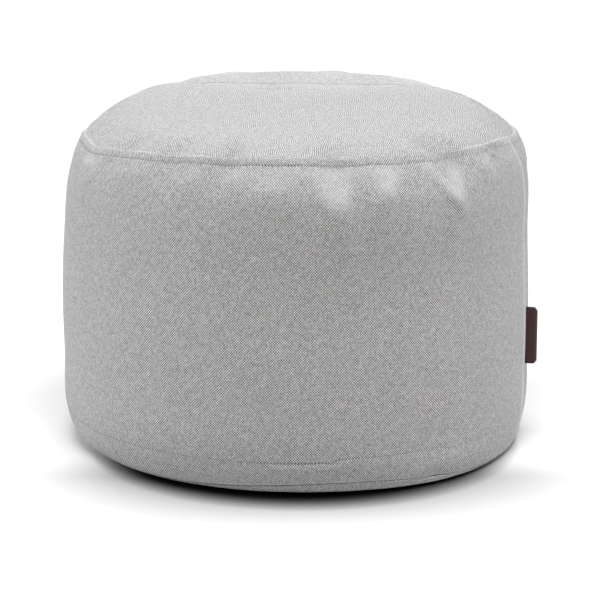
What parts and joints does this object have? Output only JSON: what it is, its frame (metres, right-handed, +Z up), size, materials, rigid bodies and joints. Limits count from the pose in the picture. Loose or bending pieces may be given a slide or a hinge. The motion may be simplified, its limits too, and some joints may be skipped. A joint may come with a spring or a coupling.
{
  "type": "round bean bag footstool",
  "caption": "Round fabric footstool: a soft filled drum with a low crown, a puckered top seam and a small blank side label.",
  "frame": {"origin": "on the floor, under the middle of the footstool's bounding box", "axes": "+Z up; the pictured front looks along -Y; +X is the pictured right side, where the upright seam and its label are"},
  "size_m": [0.5012, 0.4998, 0.3564],
  "materials": {
    "cover_fabric": "light grey melange woven upholstery cloth, fine crossed diagonal texture, matt",
    "base_fabric": "the same light grey melange woven cloth, matt",
    "label_ribbon": "dark burgundy woven ribbon with black edges, blank"
  },
  "bodies": {
    "root": {"top_panel": "cover_fabric", "side_panel": "cover_fabric", "base_panel": "base_fabric", "label": "label_ribbon"}
  },
  "joints": []
}
